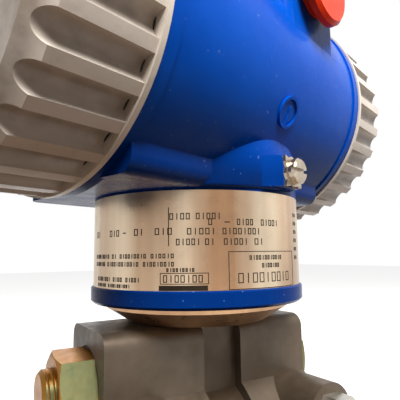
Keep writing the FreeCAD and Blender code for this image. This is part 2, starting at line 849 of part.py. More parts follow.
def housing():
    """The one-piece casting of the topworks."""
    body = fuse("housing_casting", [neck_pieces()] + barrel_pieces() + slab_pieces() + hub_pieces()
                + [earth_boss(), foundry_ring()])
    back_depth = d.barrel_back_length - d.partition_back
    front_face = d.partition_thickness - d.partition_back
    front_depth = d.barrel_front_length - front_face
    tools = [
        round_bar("electronics_bore", d.bore_radius, back_depth, -d.barrel_back_length, 0,
                  barrel_height, ALONG_X),
        round_bar("terminal_bore", d.bore_radius, front_depth, front_face, 0, barrel_height, ALONG_X),
        round_bar("neck_bore", d.neck_tube_radius + d.neck_clearance, neck_bore_top - housing_bottom,
                  z=housing_bottom),
        round_bar("lead_hole", d.lead_hole_radius, d.neck_floor * 2, x=-d.lead_hole_offset,
                  z=neck_bore_top - d.neck_floor / 2),
        round_bar("conduit_bore", d.conduit_radius, d.hub_reach * 2, d.hub_offset, -d.hub_reach,
                  hub_height, ALONG_Y),
        round_bar("earth_hole", d.earth_screw_radius + d.thread_clearance, d.earth_screw_length,
                  d.earth_boss_offset, -d.earth_boss_reach, earth_up, ALONG_Y),
        round_bar("lock_holes", lock_hole, lock_length, -lock_back, lock_across,
                  lock_up, ALONG_X),
    ]
    shell = cut("housing", body, tools)
    swivel(shell)
    return keep(shell)


housing()


def data_plate():
    """Thin band that wraps the neck, open at a narrow seam on the far side."""
    outer = d.plate_radius
    band = round_bar("plate_band", outer, d.plate_height, z=plate_bottom)
    inside = round_bar("plate_inside", outer - d.plate_thickness, d.plate_height, z=plate_bottom)
    seam = box("plate_gap", d.plate_seam, outer * 1.1, d.plate_height,
               d.plate_seam / -2, 0, plate_bottom)
    plate = cut("data_plate", band, [inside, seam])
    swivel(plate)
    return keep(plate)


data_plate()

# ---------------------------------------------------------------- screwed covers


def topworks_body(label, side, along=0, across=0, height=barrel_height, offset=0):
    """A body at a place along and across the barrel, its X pointing along it.

    side is 1 when that X points to the terminal end and -1 to the electronics end; offset is a
    further turn, in degrees.
    """
    body = new_body(label)
    along, across = size(along), size(across)
    angle = SIZES["swivel_angle"]
    turned = angle + offset + (0 if side > 0 else 180)
    spot = Rotation(Z, angle).multVec(Vector(along.value, across.value, height.value))
    body.Placement = Placement(spot, Rotation(Z, turned))
    sine, cosine = "sin(dims.swivel_angle * 1 deg)", "cos(dims.swivel_angle * 1 deg)"
    body.setExpression("Placement.Base.x", f"{along.formula} * {cosine} - {across.formula} * {sine}")
    body.setExpression("Placement.Base.y", f"{along.formula} * {sine} + {across.formula} * {cosine}")
    bind(body, "Placement.Base.z", height)
    bind(body, "Placement.Rotation.Angle", d.swivel_angle + (turned - angle))
    return body


def seam_at(side):
    return d.barrel_front_length if side > 0 else d.barrel_back_length


def screwed_cover(label, side):
    """Blind cover with a fluted grip and a threaded skirt that goes into the bore."""
    body = topworks_body(label, side)
    seam = seam_at(side)
    face = seam + d.cover_gap
    end = seam + d.cover_length
    inside = d.cover_radius - d.cover_wall
    skirt = d.bore_radius - d.cover_skirt_clearance
    seal_low = d.cover_seal_radius - d.cover_seal_section
    seal_high = d.cover_seal_radius + d.cover_seal_section
    seal_floor = seam + d.cover_seal_section * 2
    lip = seam + d.cover_rim_width
    profile = [(end, 0), (end, d.cover_radius - d.cover_chamfer),
               (end - d.cover_chamfer, d.cover_radius), (lip, d.cover_radius),
               (lip, d.cover_rim_radius), (face, d.cover_rim_radius), (face, seal_high),
               (seal_floor, seal_high), (seal_floor, seal_low), (face, seal_low), (face, skirt),
               (seam - d.cover_skirt_length, skirt), (seam - d.cover_skirt_length, inside),
               (end - d.cover_end_wall, inside), (end - d.cover_end_wall, 0)]
    sketch = new_sketch(body, "XZ_Plane")
    draw_polygon(sketch, profile)
    turn(body, "Revolution", sketch, "H_Axis")
    sketch = new_sketch(body, "YZ_Plane", lip)
    draw_circle(sketch, 0, d.flute_centre_radius, d.flute_radius)
    flute = extrude(body, "Pocket", sketch, d.cover_length, backwards=True)
    repeat_round(body, flute, sketch, "N_Axis", d.flute_count)
    return keep(body)


def cover_seal(label, side):
    """O-ring in the cover's groove, squeezed against the end of the housing."""
    body = topworks_body(label, side)
    sketch = new_sketch(body, "XZ_Plane")
    draw_circle(sketch, seam_at(side) + d.cover_seal_section, d.cover_seal_radius,
                d.cover_seal_section)
    turn(body, "Revolution", sketch, "H_Axis")
    return keep(body)


for name, side in (("electronics", -1), ("terminal", 1)):
    screwed_cover(f"{name}_cover", side)
    cover_seal(f"{name}_cover_seal", side)

# ---------------------------------------------------------------- inside the compartments


def turned_pin(label, side, head_radius, head, shank_radius, shank, **place):
    """A screw along the body's X: its head sits on the origin's plane, its shank goes inwards."""
    body = topworks_body(label, side, **place)
    sketch = new_sketch(body, "XZ_Plane")
    edge = head / 5
    draw_polygon(sketch, [(-shank, 0), (head, 0), (head, head_radius - edge),
                          (head - edge, head_radius), (0, head_radius), (0, shank_radius),
                          (-shank, shank_radius)])
    turn(body, "Revolution", sketch, "H_Axis")
    return body


def slot_head(body, head_radius, head):
    """A driver slot across the head."""
    sketch = new_sketch(body, "YZ_Plane", head)
    half = head_radius / 6
    wide = head_radius * 1.1
    draw_polygon(sketch, [(wide, half), (-wide, half), (-wide, -half), (wide, -half)])
    extrude(body, "Pocket", sketch, head / 2)
    return keep(body)


def electronics_module():
    """Potted round module that stands on two posts in the electronics compartment."""
    body = topworks_body("electronics_module", -1)
    back = d.partition_back + d.module_from_wall
    front = back + d.module_length
    radius = d.module_radius
    edge = d.module_length / 12
    sketch = new_sketch(body, "XZ_Plane")
    draw_polygon(sketch, [(back, 0), (front, 0), (front, radius - edge), (front - edge, radius),
                          (back, radius)])
    turn(body, "Revolution", sketch, "H_Axis")
    for kind, level, size_of, depth in [
            ("Pad", back, d.module_post_radius, d.module_from_wall),
            ("Pocket", front, d.module_screw_radius / 2 + d.thread_clearance,
             d.module_screw_length)]:
        sketch = new_sketch(body, "YZ_Plane", level)
        for y in (d.module_screw_offset, -d.module_screw_offset):
            draw_circle(sketch, y, 0, size_of)
        extrude(body, kind, sketch, depth, backwards=kind == "Pad")
    return keep(body)


def module_screw(label, way):
    front = d.partition_back + d.module_from_wall + d.module_length
    head = d.module_screw_radius * 0.8
    pin = turned_pin(label, -1, d.module_screw_radius, head, d.module_screw_radius / 2,
                     d.module_screw_length * 0.9, along=-front, across=d.module_screw_offset * way)
    return slot_head(pin, d.module_screw_radius, head)


def terminal_block():
    """Moulded block on the partition with three screw terminals between raised walls."""
    wall = d.partition_thickness - d.partition_back
    body = topworks_body("terminal_block", 1, height=barrel_height - d.terminal_block_drop)
    high = d.terminal_block_height / 2
    wide = d.terminal_block_half_width
    sketch = new_sketch(body, "YZ_Plane", wall)
    draw_polygon(sketch, [(wide, high), (-wide, high), (-wide, -high), (wide, -high)])
    extrude(body, "Pad", sketch, d.terminal_block_depth)
    sketch = new_sketch(body, "YZ_Plane", wall + d.terminal_block_depth)
    rib = d.terminal_pitch / 8
    for place in (-1.5, -0.5, 0.5, 1.5):
        middle = d.terminal_pitch * place
        draw_polygon(sketch, [(middle + rib, high), (middle - rib, high), (middle - rib, -high),
                              (middle + rib, -high)])
    extrude(body, "Pad", sketch, d.terminal_screw_height)
    sketch = new_sketch(body, "YZ_Plane", wall + d.terminal_block_depth)
    for place in (-1, 0, 1):
        draw_circle(sketch, d.terminal_pitch * place, 0,
                    d.terminal_screw_radius / 2 + d.thread_clearance)
    extrude(body, "Pocket", sketch, d.terminal_block_depth / 2)
    return keep(body)


def terminal_screw(label, place):
    seat = d.partition_thickness - d.partition_back + d.terminal_block_depth
    pin = turned_pin(label, 1, d.terminal_screw_radius, d.terminal_screw_height,
                     d.terminal_screw_radius / 2, d.terminal_block_depth * 0.45,
                     along=seat, across=d.terminal_pitch * place,
                     height=barrel_height - d.terminal_block_drop)
    return slot_head(pin, d.terminal_screw_radius, d.terminal_screw_height)


electronics_module()
for name, way in (("left", 1), ("right", -1)):
    module_screw(f"module_screw_{name}", way)
terminal_block()
for name, place in (("first", 1), ("second", 0), ("third", -1)):
    terminal_screw(f"terminal_screw_{name}", place)

# ---------------------------------------------------------------- outside fittings


def lock_screw(label, side):
    """Socket screw at the end of the wing; backed out, it jams the cover."""
    end = lock_front if side > 0 else -lock_back
    pin = turned_pin(label, side, d.lock_screw_head_radius, d.lock_screw_head, d.lock_screw_radius,
                     d.lock_screw_length, along=end, across=lock_across, height=lock_up)
    sketch = new_sketch(pin, "YZ_Plane", d.lock_screw_head)
    draw_polygon(sketch, hexagon(d.lock_screw_radius * 1.5))
    extrude(pin, "Pocket", sketch, d.lock_screw_head * 0.6)
    return keep(pin)


def conduit_cap(label, way):
    """Transit cap: a disc that stands off the hub on a hollow plug."""
    offset = -90 if way < 0 else 90
    body = topworks_body(label, 1, along=d.hub_offset, height=hub_height, offset=offset)
    low = d.hub_reach + d.cap_standoff
    high = low + d.cap_flange_thickness
    edge = d.cap_flange_round
    tip = d.hub_reach - d.cap_plug_length
    plug = d.conduit_radius - d.cap_clearance
    bore = plug - d.cap_wall
    taper = d.cap_wall / 3
    sketch = new_sketch(body, "XZ_Plane")
    draw_polygon(sketch, [(tip, bore), (low, bore), (low, 0), (high, 0),
                          (high, d.cap_flange_radius - edge), (high - edge, d.cap_flange_radius),
                          (low, d.cap_flange_radius), (low, plug), (tip + taper, plug),
                          (tip, plug - taper)])
    turn(body, "Revolution", sketch, "H_Axis")
    return keep(body)


def earth_screw():
    seat = -d.earth_boss_reach - d.earth_washer_thickness
    pin = turned_pin("earth_screw", 1, d.earth_head_radius, d.earth_head_height,
                     d.earth_screw_radius, d.earth_screw_length * 0.95,
                     along=d.earth_boss_offset, across=seat, height=earth_up, offset=-90)
    return slot_head(pin, d.earth_head_radius, d.earth_head_height)


def earth_washer():
    """Square washer with nicked edges under the earth screw."""
    body = topworks_body("earth_washer", 1, along=d.earth_boss_offset, across=-d.earth_boss_reach,
                         height=earth_up, offset=-90)
    half = d.earth_washer_half
    edge = []
    for step, share in enumerate((-1, -0.6, -0.2, 0.2, 0.6)):
        edge.append((half * share, half * (1 if step % 2 == 0 else 0.88)))
    corners = []
    for turns in range(4):
        corners += edge
        edge = [(y, -x) for x, y in edge]
    sketch = new_sketch(body, "YZ_Plane")
    draw_polygon(sketch, corners)
    draw_circle(sketch, 0, 0, d.earth_screw_radius + d.thread_clearance)
    extrude(body, "Pad", sketch, d.earth_washer_thickness)
    return keep(body)


lock_screw("cover_lock_screw_electronics", -1)
lock_screw("cover_lock_screw_terminal", 1)
conduit_cap("conduit_cap_near", -1)
conduit_cap("conduit_cap_far", 1)
earth_screw()
earth_washer()

# ---------------------------------------------------------------- checks and export

doc.recompute()
failed = [thing.Label for thing in doc.Objects if "Invalid" in thing.State or "Error" in thing.State]
if failed:
    raise RuntimeError(f"these objects did not build: {failed}")
for node in nodes:
    if node.Shape.isNull() or not node.Shape.isValid():
        raise RuntimeError(f"{node.Label} has no sound shape")

os.makedirs("parts", exist_ok=True)
for node in nodes:
    node.Shape.exportStep(os.path.join("parts", f"{node.Label}.step"))
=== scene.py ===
"""Looks for the differential pressure transmitter: finishes, small fittings, light and camera.

Metres, in the same frame as the solids: Z up along the neck, X along the clamping bolts.
"""
import json
import math

import bmesh
import bpy
from mathutils import Matrix, Vector


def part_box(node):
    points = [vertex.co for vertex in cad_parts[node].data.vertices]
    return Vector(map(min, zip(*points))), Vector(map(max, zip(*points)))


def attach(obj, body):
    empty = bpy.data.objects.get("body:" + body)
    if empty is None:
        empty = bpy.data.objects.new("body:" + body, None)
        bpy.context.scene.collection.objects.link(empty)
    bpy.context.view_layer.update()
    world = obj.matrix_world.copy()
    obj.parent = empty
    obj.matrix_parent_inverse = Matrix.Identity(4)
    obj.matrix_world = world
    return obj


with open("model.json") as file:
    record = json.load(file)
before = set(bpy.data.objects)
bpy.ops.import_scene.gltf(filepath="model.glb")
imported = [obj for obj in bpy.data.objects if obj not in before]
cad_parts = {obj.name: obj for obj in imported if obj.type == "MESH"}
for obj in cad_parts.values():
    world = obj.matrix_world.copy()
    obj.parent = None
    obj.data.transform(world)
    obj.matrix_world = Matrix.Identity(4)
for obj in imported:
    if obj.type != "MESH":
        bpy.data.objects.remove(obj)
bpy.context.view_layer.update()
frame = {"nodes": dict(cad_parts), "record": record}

# ---------------------------------------------------------------- places, from the frame

MM = 0.001
joints = {joint["name"]: joint for joint in frame["record"]["behaviour"]["joints"]}
BARREL_AXIS = Vector(joints["terminal_cover_slide"]["axis"])
BARREL_CENTRE = Vector(joints["terminal_cover_screw"]["pos_m"])
PLATE_LOW, PLATE_HIGH = (corner.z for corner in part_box("data_plate"))
PLATE_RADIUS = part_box("data_plate")[1].x
UP = Vector((0, 0, 1))
NEAR = BARREL_AXIS.cross(UP)             # out of the side that carries the earth screw
NEAR_BEARING = math.atan2(NEAR.y, NEAR.x)


# ---------------------------------------------------------------- material builder


def srgb(red, green, blue):
    """A linear colour from 0 to 255 display values."""
    def linear(value):
        value /= 255
        return value / 12.92 if value <= 0.04045 else ((value + 0.055) / 1.055) ** 2.4
    return (linear(red), linear(green), linear(blue), 1)


class Finish:
    """One procedural material, built node by node."""

    def __init__(self, name, **sockets):
        self.material = bpy.data.materials.new(name)
        self.material.use_nodes = True
        self.tree = self.material.node_tree
        self.shader = self.tree.nodes["Principled BSDF"]
        for socket, value in sockets.items():
            self.shader.inputs[socket.replace("_", " ")].default_value = value
        self.place = self.node("ShaderNodeTexCoord").outputs["Object"]
        self.height = None

    def node(self, kind, **settings):
        """Adds a node and sets what it is told."""
        made = self.tree.nodes.new(kind)
        for setting, value in settings.items():
            setattr(made, setting, value)
        return made

    def feed(self, socket, value):
        """Sets a socket to a number, a colour or another node's output."""
        if isinstance(value, bpy.types.NodeSocket):
            self.tree.links.new(value, socket)
        else:
            socket.default_value = value

    def math(self, operation, first, second, clamp=False):
        made = self.node("ShaderNodeMath", operation=operation, use_clamp=clamp)
        self.feed(made.inputs[0], first)
        self.feed(made.inputs[1], second)
        return made.outputs[0]

    def stretch(self, x, y, z):
        """Object coordinates scaled along each axis; a small scale draws a texture out."""
        made = self.node("ShaderNodeMapping")
        self.feed(made.inputs["Vector"], self.place)
        made.inputs["Scale"].default_value = (x, y, z)
        return made.outputs[0]

    def noise(self, scale, detail=3.0, roughness=0.5, place=None):
        """Clouds from 0 to 1; a larger scale makes them finer."""
        made = self.node("ShaderNodeTexNoise")
        self.feed(made.inputs["Vector"], place or self.place)
        made.inputs["Scale"].default_value = scale
        made.inputs["Detail"].default_value = detail
        made.inputs["Roughness"].default_value = roughness
        return made.outputs["Fac"]

    def ramp(self, factor, stops):
        """Colours or greys along a factor: [(position, colour or grey), ...]."""
        made = self.node("ShaderNodeValToRGB")
        self.feed(made.inputs[0], factor)
        elements = made.color_ramp.elements
        while len(elements) < len(stops):
            elements.new(0.5)
        for element, (position, shade) in zip(elements, stops):
            element.position = position
            element.color = shade if isinstance(shade, tuple) else (shade, shade, shade, 1)
        return made.outputs[0]

    def mix(self, factor, first, second, blend="MIX"):
        made = self.node("ShaderNodeMix", data_type="RGBA", blend_type=blend)
        self.feed(made.inputs[0], factor)
        self.feed(made.inputs[6], first)
        self.feed(made.inputs[7], second)
        return made.outputs[2]

    def axis_radius(self, centre, axis):
        """Distance from a line, in metres."""
        offset = self.node("ShaderNodeVectorMath", operation="SUBTRACT")
        self.feed(offset.inputs[0], self.place)
        offset.inputs[1].default_value = centre
        across = self.node("ShaderNodeVectorMath", operation="CROSS_PRODUCT")
        self.feed(across.inputs[0], offset.outputs[0])
        across.inputs[1].default_value = axis
        length = self.node("ShaderNodeVectorMath", operation="LENGTH")
        self.feed(length.inputs[0], across.outputs[0])
        return length.outputs["Value"]

    def up(self):
        """Height above the foot, in metres."""
        parts = self.node("ShaderNodeSeparateXYZ")
        self.feed(parts.inputs[0], self.place)
        return parts.outputs["Z"]

    def colour(self, value):
        self.feed(self.shader.inputs["Base Color"], value)

    def roughness(self, factor, low, high):
        """Roughness between two values, along a factor."""
        self.feed(self.shader.inputs["Roughness"], self.ramp(factor, [(0.3, low), (0.7, high)]))

    def bump(self, height, depth):
        """Adds relief; depth is in metres."""
        made = self.node("ShaderNodeBump")
        self.feed(made.inputs["Height"], height)
        made.inputs["Strength"].default_value = 1.0
        made.inputs["Distance"].default_value = depth
        if self.height is not None:
            self.feed(made.inputs["Normal"], self.height)
        self.height = made.outputs[0]
        self.feed(self.shader.inputs["Normal"], self.height)


# ---------------------------------------------------------------- finishes


def blue_paint():
    """Thick gloss enamel over a sand casting, with painted shade that darkens the neck and the barrel's
    underside.
    """
    finish = Finish("blue_enamel", IOR=1.16, Specular_IOR_Level=0.25)
    broad = finish.noise(38, 4)
    specks = finish.ramp(finish.noise(900, 1), [(0.745, 0.0), (0.77, 0.35)])
    paint = finish.ramp(broad, [(0.3, srgb(0, 68, 170)), (0.7, srgb(2, 78, 186))])
    # Painted shade: the enamel is multiplied darker as height falls, darkest on the neck and the
    # barrel's underside.
    fifths = finish.math("MULTIPLY", finish.up(), 5.0)
    shade = finish.ramp(fifths, [(0.52, 0.34), (0.66, 0.42), (0.74, 1.0)])
    paint_under_painted_shade = finish.mix(1.0, paint, shade, blend="MULTIPLY")
    finish.colour(finish.mix(specks, paint_under_painted_shade, srgb(120, 150, 205)))
    finish.roughness(finish.noise(160, 3), 0.2, 0.3)
    finish.bump(finish.noise(200, 2), 0.00008)
    return finish.material


def grey_paint():
    """Pale enamel on the covers, darker between the flutes from dirt and painted shade, and bright on
    the rim from a painted highlight and wear.
    """
    finish = Finish("cover_enamel", IOR=1.35)
    radius = finish.axis_radius(BARREL_CENTRE, BARREL_AXIS)
    cloud = finish.noise(70, 4)
    paint = finish.ramp(cloud, [(0.3, srgb(186, 177, 167)), (0.7, srgb(198, 190, 181))])
    grooves = finish.math("MULTIPLY", radius, 10.0)
    # Dirt and painted shade: the paint turns a patchy dark brown inside the grooves between the flutes.
    groove_dirt_and_shade = finish.ramp(grooves, [(0.390, 0.62), (0.408, 0.0)])
    patchy_dirt_and_shade = finish.math("MULTIPLY", groove_dirt_and_shade, finish.ramp(finish.noise(240, 4), [(0.25, 0.55), (0.6, 1.0)]))
    # Painted highlight and wear: a thin near-white band on the rim, beyond about 41.7 mm from the
    # barrel's axis.
    worn = finish.ramp(grooves, [(0.4168, 0.0), (0.4192, 0.7)])
    paint_with_dirt_and_shade = finish.mix(patchy_dirt_and_shade, paint, srgb(92, 76, 62))
    finish.colour(finish.mix(worn, paint_with_dirt_and_shade, srgb(222, 214, 203)))
    finish.roughness(finish.noise(210, 3), 0.26, 0.42)
    finish.bump(finish.noise(330, 3), 0.00012)
    return finish.material


def plate_steel():
    """Bright rolled band with soft upright bands of painted reflection, copper to cream, and fine lines
    from the drawing.
    """
    finish = Finish("plate_steel", Metallic=1.0, Anisotropic=0.3)
    reflection_streaks = finish.noise(60, 2, place=finish.stretch(1, 1, 0.03))
    drawn = finish.noise(420, 2, place=finish.stretch(1, 1, 0.02))
    # Painted reflection: the band's colour runs in soft upright bands from copper to cream.
    painted_reflection_tone = finish.ramp(reflection_streaks, [(0.35, srgb(160, 124, 94)), (0.6, srgb(210, 190, 164))])
    lines = finish.ramp(drawn, [(0.35, 0.93), (0.65, 1.0)])
    finish.colour(finish.mix(1.0, painted_reflection_tone, lines, blend="MULTIPLY"))
    finish.roughness(finish.noise(300, 2), 0.26, 0.34)
    finish.bump(drawn, 0.000004)
    return finish.material


def steel(name, dark, light, low=0.3, high=0.5, grain=220, relief=0.00004, metallic=0.9):
    """Metal with a clouded colour, a worn sheen and a fine grain."""
    finish = Finish(name, Metallic=metallic)
    cloud = finish.noise(60, 5, 0.6)
    finish.colour(finish.ramp(cloud, [(0.3, dark), (0.7, light)]))
    finish.roughness(finish.noise(grain, 4), low, high)
    finish.bump(finish.noise(grain, 4, 0.6), relief)
    return finish.material


def passivated_zinc():
    """Yellow plating with painted light by facing: gold on its top, bottom and ends, paler and greener
    on its other faces.
    """
    finish = Finish("yellow_plating", Metallic=0.85)
    facing = finish.node("ShaderNodeSeparateXYZ")
    finish.feed(facing.inputs[0], finish.node("ShaderNodeNewGeometry").outputs["Normal"])
    cloud = finish.noise(90, 3)
    pale = finish.ramp(cloud, [(0.35, srgb(88, 96, 68)), (0.55, srgb(104, 104, 70)),
                               (0.7, srgb(120, 102, 56))])
    gold = finish.ramp(cloud, [(0.35, srgb(128, 80, 16)), (0.65, srgb(158, 108, 30))])
    # Painted light: the colour follows which way each face turns, gold where it faces up, down or along
    # X, and paler green elsewhere.
    tilt = finish.math("ABSOLUTE", facing.outputs["Z"], 0.0)
    side = finish.math("ABSOLUTE", facing.outputs["X"], 0.0)
    painted_gold_by_facing = finish.ramp(finish.math("MAXIMUM", tilt, side), [(0.45, 0.0), (0.75, 1.0)])
    finish.colour(finish.mix(painted_gold_by_facing, pale, gold))
    finish.roughness(finish.noise(420, 3), 0.34, 0.46)
    finish.bump(finish.noise(700, 3), 0.00002)
    return finish.material


def plastic(name, dark, light, low, high):
    """Moulded, printed or rubber surface with a barely clouded colour."""
    finish = Finish(name, IOR=1.2, Specular_IOR_Level=0.4)
    finish.colour(finish.ramp(finish.noise(120, 3), [(0.3, dark), (0.7, light)]))
    finish.roughness(finish.noise(500, 3), low, high)
    finish.bump(finish.noise(900, 2), 0.00003)
    return finish.material


FINISHES = {
    "housing_paint": blue_paint(),
    "cover_paint": grey_paint(),
    "plate_steel": plate_steel(),
    "cover_steel": steel("cast_cover_steel", srgb(72, 62, 51), srgb(92, 80, 67), 0.42, 0.58, 260,
                         0.00006, metallic=0.55),
    # Painted shade: the cell's steel is given a very dark brown for the shade in the recess between the
    # process covers.
    "cell_steel": steel("cell_steel", srgb(50, 40, 28), srgb(72, 57, 40), 0.35, 0.5, metallic=0.4),
    "collar_steel": steel("collar_steel", srgb(150, 108, 78), srgb(206, 168, 130), 0.24, 0.4),
    "diaphragm_steel": steel("diaphragm_steel", srgb(180, 178, 174), srgb(214, 212, 208), 0.15, 0.3),
    "plated_bolt": passivated_zinc(),
    "fitting_steel": steel("fitting_steel", srgb(150, 144, 134), srgb(200, 196, 188), 0.25, 0.42),
    "screw_steel": steel("screw_steel", srgb(122, 108, 90), srgb(186, 174, 158), 0.2, 0.34),
    "terminal_brass": steel("terminal_brass", srgb(170, 124, 56), srgb(214, 170, 92), 0.22, 0.4),
    "gasket": plastic("white_gasket", srgb(214, 212, 204), srgb(232, 230, 224), 0.4, 0.6),
    "ink": plastic("plate_ink", srgb(30, 24, 18), srgb(44, 36, 28), 0.5, 0.6),
    "seal_rubber": plastic("seal_rubber", srgb(18, 18, 19), srgb(34, 34, 35), 0.45, 0.7),
    "module_resin": plastic("module_resin", srgb(20, 20, 22), srgb(34, 34, 38), 0.35, 0.55),
    "block_plastic": plastic("block_plastic", srgb(16, 16, 17), srgb(30, 30, 31), 0.4, 0.6),
    "cap_plastic": plastic("cap_plastic", srgb(246, 48, 10), srgb(255, 66, 18), 0.3, 0.4),
}

for entry in frame["record"]["subparts"]:
    node = frame["nodes"][entry["node"]]
    node.data.materials.clear()
    node.data.materials.append(FINISHES[entry["material_slot"]])

# ---------------------------------------------------------------- small fittings


def dress(name, shape, finish, body):
    """Turns a bmesh into a piece that rides on a body."""
    bmesh.ops.recalc_face_normals(shape, faces=shape.faces)
    mesh = bpy.data.meshes.new(name)
    shape.to_mesh(mesh)
    shape.free()
    mesh.materials.append(FINISHES[finish])
    piece = bpy.data.objects.new(name, mesh)
    bpy.context.scene.collection.objects.link(piece)
    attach(piece, body)


def sweep(shape, sections):
    """Joins a row of like sections into a tube and fills its ends."""
    rings = [[shape.verts.new(corner) for corner in section] for section in sections]
    corners = len(rings[0])
    for first, second in zip(rings, rings[1:]):
        for index in range(corners):
            after = (index + 1) % corners
            shape.faces.new((first[index], first[after], second[after], second[index]))
    shape.faces.new(rings[0])
    shape.faces.new(rings[-1])


INK_SINK = 0.02 * MM
INK_RISE = 0.04 * MM
INK_STROKE = 0.26                        # mm
INK_STEP = 3                             # degrees, longest straight stretch of a bar
DIGIT_PITCH = 0.85                       # of a digit's height
DIGIT_WIDTH = 0.72                       # of the pitch
ONE_PLACE = 0.3                          # of the pitch, where the stroke of a one stands
DEGREES_PER_MM = math.degrees(MM / PLATE_RADIUS)


def ink_bar(shape, start, end, low, high):
    """One printed bar on the band: degrees round from the earth boss, mm up from its lower edge."""
    steps = max(1, math.ceil((end - start) / INK_STEP))
    sections = []
    for step in range(steps + 1):
        bearing = NEAR_BEARING + math.radians(start + (end - start) * step / steps)
        out = Vector((math.cos(bearing), math.sin(bearing), 0))
        sections.append([out * (PLATE_RADIUS + lift) + UP * (PLATE_LOW + up * MM)
                         for lift, up in ((-INK_SINK, low), (INK_RISE, low),
                                          (INK_RISE, high), (-INK_SINK, high))])
    sweep(shape, sections)


def ink_frame(shape, start, end, low, high, stroke=INK_STROKE):
    """Outline of a field, or of a nought."""
    side = stroke * DEGREES_PER_MM
    ink_bar(shape, start, end, low, low + stroke)
    ink_bar(shape, start, end, high - stroke, high)
    ink_bar(shape, start, start + side, low + stroke, high - stroke)
    ink_bar(shape, end - side, end, low + stroke, high - stroke)


def ink_digits(shape, start, end, middle, height):
    """A word's length of noughts and ones."""
    pitch = height * DIGIT_PITCH * DEGREES_PER_MM
    count = max(1, round((end - start) / pitch))
    pitch = (end - start) / count
    low, high = middle - height / 2, middle + height / 2
    for place in range(count):
        left = start + pitch * place
        if place % 3 == 1:
            stroke = left + pitch * ONE_PLACE
            ink_bar(shape, stroke, stroke + INK_STROKE * DEGREES_PER_MM, low, high)
        else:
            ink_frame(shape, left, left + pitch * DIGIT_WIDTH, low, high)


# mm: height of each row above the band's lower edge and of its digits, then the degrees each group spans
PRINT_ROWS = [
    (19.0, 1.7, [(-61, -51), (-49, -37)]),
    (17.5, 1.7, [(-43.5, -41), (-30, -21), (-17, -5)]),
    (15.1, 1.7, [(-53, -39.5), (-37, -17)]),
    (15.2, 1.8, [(-112, -106), (-96, -88), (-79, -73), (-68, -59)]),
    (12.4, 1.7, [(-58, -46.5), (-45, -40), (-36.5, -24), (-21, -15)]),
    (8.9, 1.2, [(-112, -96), (-94, -90), (-88, -72), (-70, -58.5)]),
    (6.8, 1.2, [(-112, -100), (-98, -76), (-74, -58.5)]),
    (5.3, 1.0, [(-62.5, -49.5)]),
    (3.1, 1.9, [(-64, -45.5)]),
    (2.7, 1.2, [(-109, -95), (-93, -86), (-84, -75.5)]),
    (1.0, 1.0, [(-109, -99), (-97, -81)]),
    (8.2, 1.2, [(-24, -3)]),
    (6.1, 1.2, [(-17, -5)]),
    (3.0, 2.6, [(-30, 4)]),
]
# Start and end in degrees, then lower and upper edge in mm
PRINT_BARS = [(-36, -33.5, 17.3, 17.6), (-86, -84, 15.0, 15.3), (-66, -44, 0.1, 1.4),
              (-61.6, -61.2, 11.4, 21.4)]
PRINT_FRAMES = [(-65.5, -43.5, 1.7, 4.6), (-34.5, 8.5, 0.1, 9.9)]
FRAME_STROKE = INK_STROKE * 0.8
COLUMN_ROWS = 6                          # short groups stacked beside the fields
COLUMN_START, COLUMN_END = 12, 17        # degrees
COLUMN_FOOT, COLUMN_PITCH, COLUMN_DIGIT = 8, 2.5, 1.1    # mm


def print_plate():
    """Plain fields, rules and digits on the data plate; nothing on it names anything."""
    shape = bmesh.new()
    for middle, height, groups in PRINT_ROWS:
        for start, end in groups:
            ink_digits(shape, start, end, middle, height)
    for start, end, low, high in PRINT_BARS:
        ink_bar(shape, start, end, low, high)
    for start, end, low, high in PRINT_FRAMES:
        ink_frame(shape, start, end, low, high, FRAME_STROKE)
    for row in range(COLUMN_ROWS):
        ink_digits(shape, COLUMN_START, COLUMN_END, COLUMN_FOOT + COLUMN_PITCH * row, COLUMN_DIGIT)
    dress("plate_print", shape, "ink", "topworks")


THREAD_PITCH = 1.3 * MM
THREAD_RADIUS = 6.2 * MM                 # of the bar it is raised on
THREAD_STEPS = 40                        # a turn
THREAD_RUN_OUT = 10                      # steps over which it starts and dies away
THREAD_CREST, THREAD_ROOT, THREAD_HALF_WIDTH = 0.3, 0.1, 0.4     # of the pitch


def screw_thread(name, start, axis, radius, pitch, length, finish, body):
    """A raised thread that winds along an axis from a start point."""
    shape = bmesh.new()
    side = axis.orthogonal().normalized()
    other = axis.cross(side)
    count = round(THREAD_STEPS * length / pitch)
    sections = []
    for step in range(count + 1):
        angle = 2 * math.pi * step / THREAD_STEPS
        out = side * math.cos(angle) + other * math.sin(angle)
        crest = min(1, step / THREAD_RUN_OUT, (count - step) / THREAD_RUN_OUT) * pitch * THREAD_CREST
        along = start + axis * (pitch * step / THREAD_STEPS)
        root = along + out * (radius - pitch * THREAD_ROOT)
        sections.append([root - axis * pitch * THREAD_HALF_WIDTH,
                         along + out * (radius + crest),
                         root + axis * pitch * THREAD_HALF_WIDTH])
    sweep(shape, sections)
    dress(name, shape, finish, body)


for end_name in ("top", "bottom", "near", "far"):
    nut_low, nut_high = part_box(f"cover_nut_{end_name}")
    bolt_low, bolt_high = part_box(f"cover_bolt_{end_name}")
    bolt_middle = (nut_low + nut_high) / 2
    tip = Vector((bolt_low.x, bolt_middle.y, bolt_middle.z))
    shown = nut_low.x - bolt_low.x
    screw_thread(f"bolt_thread_{end_name}", tip + Vector((shown * 0.35, 0, 0)), Vector((1, 0, 0)),
                 THREAD_RADIUS, THREAD_PITCH, shown * 0.75, "plated_bolt", "pressure_cell")


MARK_TILT = math.radians(25)             # below the barrel's widest line
MARK_RADIUS = 40.8 * MM                  # just inside the barrel's skin
MARK_SHIFT = 3 * MM                      # from the neck towards the electronics cover


